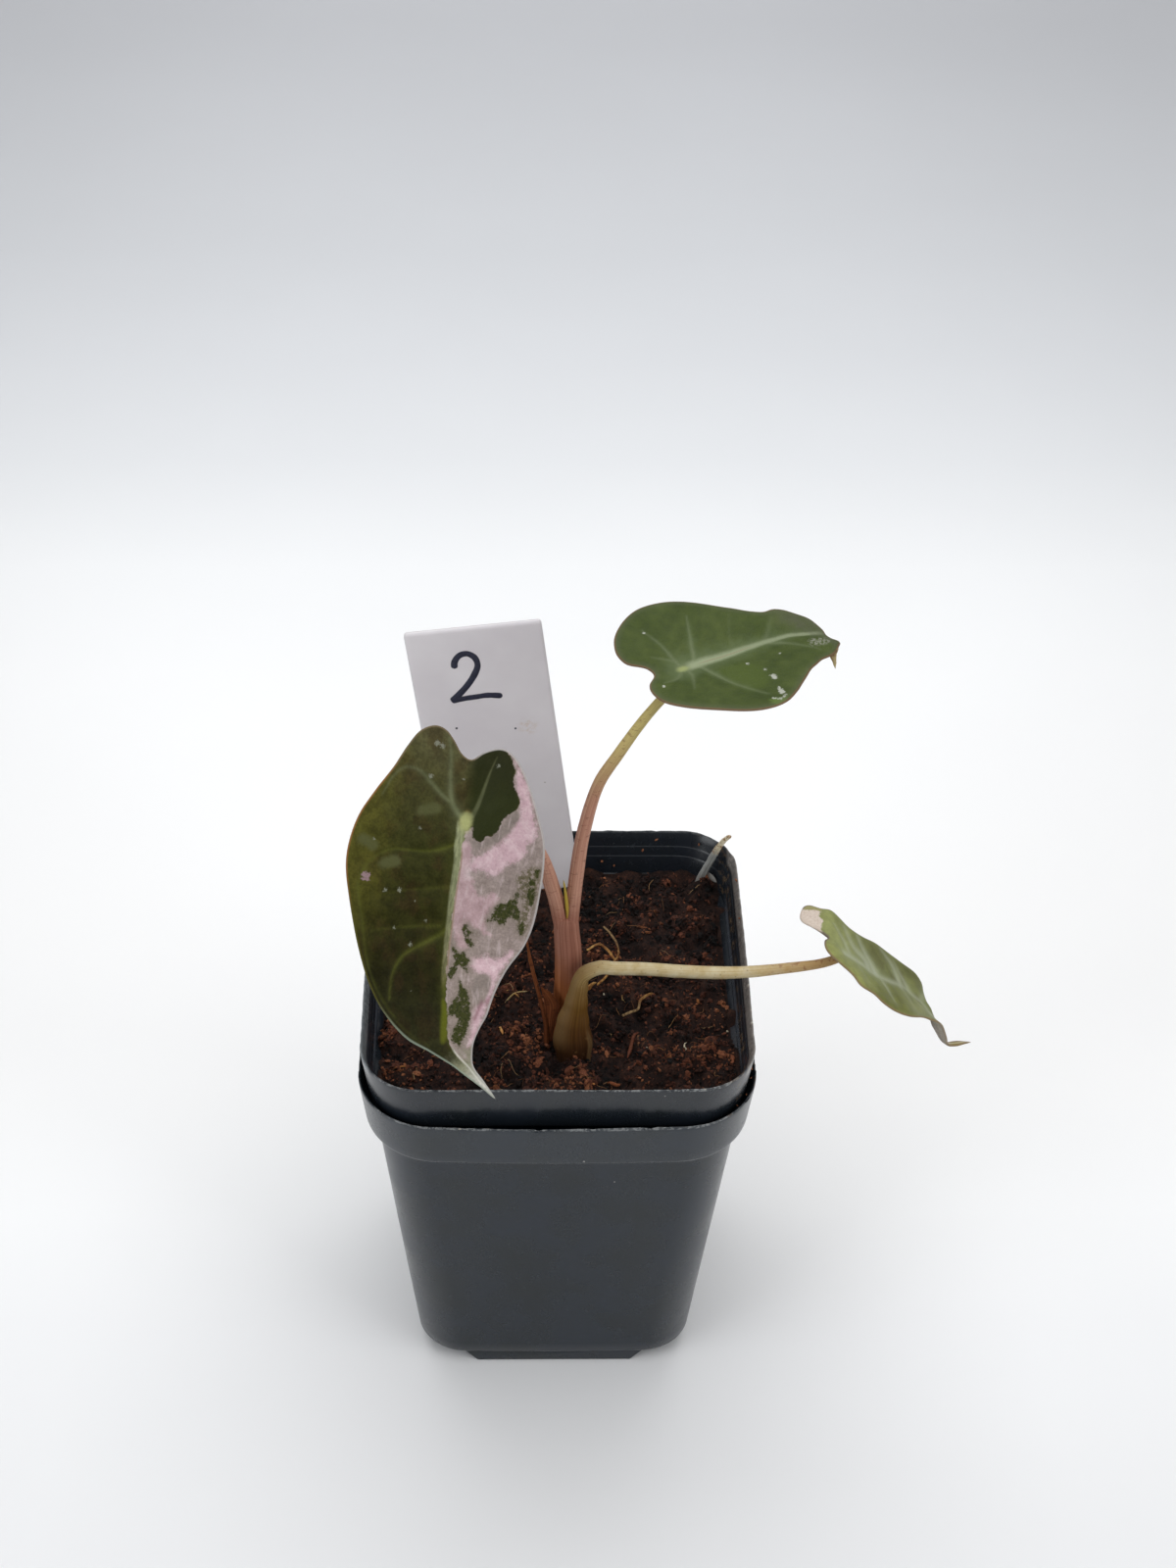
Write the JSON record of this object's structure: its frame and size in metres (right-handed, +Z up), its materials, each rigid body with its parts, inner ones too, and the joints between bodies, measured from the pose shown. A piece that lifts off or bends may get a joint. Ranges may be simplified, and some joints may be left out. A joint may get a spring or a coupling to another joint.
{
  "type": "potted variegated bambino alocasia",
  "caption": "Young arrow-leaved house plant with pink-variegated foliage on long stalks, in nested square nursery pots with soil and a plant label.",
  "frame": {"origin": "middle of the outer pot's low cross-shaped foot, on the ground", "axes": "+Z up, the pot's front with the leaf tip over it faces -Y, the drooping leaf points to +X"},
  "size_m": [0.1135, 0.0865, 0.1491],
  "materials": {
    "outer_pot_plastic": "satin moulded black",
    "inner_pot_plastic": "satin moulded black",
    "soil": "loose dark brown peat and coco crumbs",
    "label_plastic": "satin white sheet",
    "front_stalk": "smooth, tan with fine lengthwise streaks",
    "rear_stalks": "smooth, pink brown with fine dark streaks",
    "new_shoot": "smooth yellow green",
    "leaf_left": "satin, dark green and pink",
    "leaf_top": "satin, mid green with pale veins",
    "leaf_right": "satin, grey green with pale veins",
    "dry_sheath": "dry papery red brown",
    "withered_strip": "thin, withered, half translucent",
    "root": "rough pale brown"
  },
  "bodies": {
    "root": {"outer_pot": "outer_pot_plastic", "inner_pot": "inner_pot_plastic", "soil": "soil", "plant_label": "label_plastic", "front_stalk": "front_stalk", "rear_stalks": "rear_stalks", "new_shoot": "new_shoot", "leaf_left": "leaf_left", "leaf_top": "leaf_top", "leaf_right": "leaf_right", "dry_sheath": "dry_sheath", "withered_strip": "withered_strip", "root_long": "root", "root_curled": "root", "root_front": "root"}
  },
  "joints": []
}
